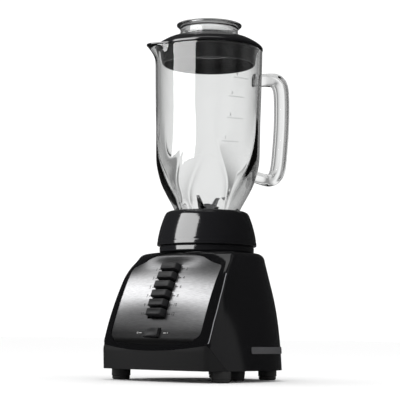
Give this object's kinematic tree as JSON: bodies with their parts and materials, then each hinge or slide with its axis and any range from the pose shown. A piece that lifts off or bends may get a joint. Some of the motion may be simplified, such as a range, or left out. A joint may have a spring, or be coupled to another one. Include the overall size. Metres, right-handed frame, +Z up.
{
  "type": "countertop blender",
  "caption": "Countertop blender: black base with a steel key panel, fluted glass jar with handle and spout, blades, black lid and clear filler cap.",
  "frame": {"origin": "middle of the base's outline on the surface it stands on", "axes": "+Z up, the key panel faces -Y, +X is the viewer's right when facing the panel"},
  "size_m": [0.1672, 0.1815, 0.3944],
  "materials": {
    "gloss_black": "high gloss moulded",
    "satin_black": "fine satin texture",
    "grey_trim": "satin",
    "lid_plastic": "gloss, slightly flexible",
    "moulded_plastic": "matt",
    "brushed_steel": "brushed, fine grain",
    "zinc_steel": "bright plated",
    "blade_steel": "ground and polished",
    "cast_metal": "as cast",
    "laminated_iron": "varnished laminations",
    "copper": "enamelled wire",
    "bronze": "sintered",
    "carbon": "carbon",
    "rubber": "soft matt",
    "jar_glass": "clear pressed glass",
    "clear_plastic": "clear moulded plastic"
  },
  "bodies": {
    "base": {"side_shell": "gloss_black", "front_frame": "gloss_black", "faceplate": "brushed_steel", "chin_cover": "satin_black", "bottom_cover": "satin_black", "foot_front_left": "rubber", "foot_front_right": "rubber", "foot_rear_left": "rubber", "foot_rear_right": "rubber", "foot_heel": "satin_black", "jar_seat": "gloss_black", "rear_strip": "grey_trim", "cord_gland": "rubber", "cover_screw_1": "zinc_steel", "cover_screw_2": "zinc_steel", "cover_screw_3": "zinc_steel", "cover_screw_4": "zinc_steel", "field_stack": "laminated_iron", "field_coil_front": "copper", "field_coil_rear": "copper", "lower_bracket": "cast_metal", "upper_bracket": "cast_metal", "lower_bush": "bronze", "upper_bush": "bronze", "brush_holder_left": "bronze", "brush_holder_right": "bronze", "brush_spring_left": "zinc_steel", "brush_spring_right": "zinc_steel", "carbon_brush_left": "carbon", "carbon_brush_right": "carbon", "key_switch_block": "moulded_plastic", "rocker_switch_body": "moulded_plastic"},
    "armature": {"motor_shaft": "zinc_steel", "armature_core": "laminated_iron", "winding_low": "copper", "winding_high": "copper", "commutator": "copper", "cooling_fan": "moulded_plastic", "drive_stud": "zinc_steel"},
    "key_1": {"key_1": "satin_black"},
    "key_2": {"key_2": "satin_black"},
    "key_3": {"key_3": "satin_black"},
    "key_4": {"key_4": "satin_black"},
    "key_5": {"key_5": "satin_black"},
    "key_6": {"key_6": "satin_black"},
    "rocker": {"rocker_key": "satin_black"},
    "latch": {"latch_bar": "zinc_steel"},
    "collar_unit": {"jar_collar": "gloss_black", "blade_housing": "moulded_plastic"},
    "blades": {"thrust_washer": "rubber", "blade_shaft": "zinc_steel", "lower_blade": "blade_steel", "upper_blade": "blade_steel", "blade_nut": "blade_steel", "drive_socket": "moulded_plastic"},
    "gasket": {"jar_gasket": "rubber"},
    "glass": {"jar_glass": "jar_glass"},
    "lid": {"lid": "lid_plastic"},
    "cap": {"filler_cap": "clear_plastic"}
  },
  "joints": [
    {"name": "armature_spin", "type": "hinge", "parent": "base", "child": "armature", "pos_m": [0, 0.00375, 0.077], "axis": [0, 0, 1], "continuous": true},
    {"name": "key_1_press", "type": "slide", "parent": "base", "child": "key_1", "axis": [0, 0.8908, -0.4544], "range_m": [0, 0.004], "stiffness_N_per_m": 400, "springref_m": -0.002},
    {"name": "key_2_press", "type": "slide", "parent": "base", "child": "key_2", "axis": [0, 0.8901, -0.4558], "range_m": [0, 0.004], "stiffness_N_per_m": 400, "springref_m": -0.002},
    {"name": "key_3_press", "type": "slide", "parent": "base", "child": "key_3", "axis": [0, 0.8932, -0.4497], "range_m": [0, 0.004], "stiffness_N_per_m": 400, "springref_m": -0.002},
    {"name": "key_4_press", "type": "slide", "parent": "base", "child": "key_4", "axis": [0, 0.9078, -0.4195], "range_m": [0, 0.004], "stiffness_N_per_m": 400, "springref_m": -0.002},
    {"name": "key_5_press", "type": "slide", "parent": "base", "child": "key_5", "axis": [0, 0.933, -0.3599], "range_m": [0, 0.004], "stiffness_N_per_m": 400, "springref_m": -0.002},
    {"name": "key_6_press", "type": "slide", "parent": "base", "child": "key_6", "axis": [0, 0.9435, -0.3315], "range_m": [0, 0.004], "stiffness_N_per_m": 400, "springref_m": -0.002},
    {"name": "rocker_tilt", "type": "hinge", "parent": "base", "child": "rocker", "pos_m": [0, -0.08388, 0.05028], "axis": [0, 0.359, 0.9334], "range_deg": [0, 14]},
    {"name": "latch_slide", "type": "slide", "parent": "base", "child": "latch", "axis": [0, 0.4383, 0.8988], "range_m": [0, 0.0015], "stiffness_N_per_m": 200, "springref_m": -0.001},
    {"name": "jar_lift", "type": "slide", "parent": "base", "child": "collar_unit", "axis": [0, 0, 1], "range_m": [0, 0.06]},
    {"name": "blade_spin", "type": "hinge", "parent": "collar_unit", "child": "blades", "pos_m": [0, 0.00375, 0.18], "axis": [0, 0, 1], "continuous": true},
    {"name": "jar_unscrew_rise", "type": "slide", "parent": "collar_unit", "child": "gasket", "axis": [0, 0, 1], "range_m": [0, 0.045]},
    {"name": "jar_unscrew_turn", "type": "hinge", "parent": "gasket", "child": "glass", "pos_m": [0, 0.00375, 0.18], "axis": [0, 0, 1], "range_deg": [0, 360]},
    {"name": "lid_lift", "type": "slide", "parent": "glass", "child": "lid", "axis": [0, 0, 1], "range_m": [0, 0.04]},
    {"name": "cap_lift", "type": "slide", "parent": "lid", "child": "cap", "axis": [0, 0, 1], "range_m": [0, 0.035]}
  ],
  "couplings": [
    {"joint": "blade_spin", "follows": "armature_spin", "ratio": 1},
    {"joint": "jar_unscrew_turn", "follows": "jar_unscrew_rise", "rad_per_m": 139}
  ]
}
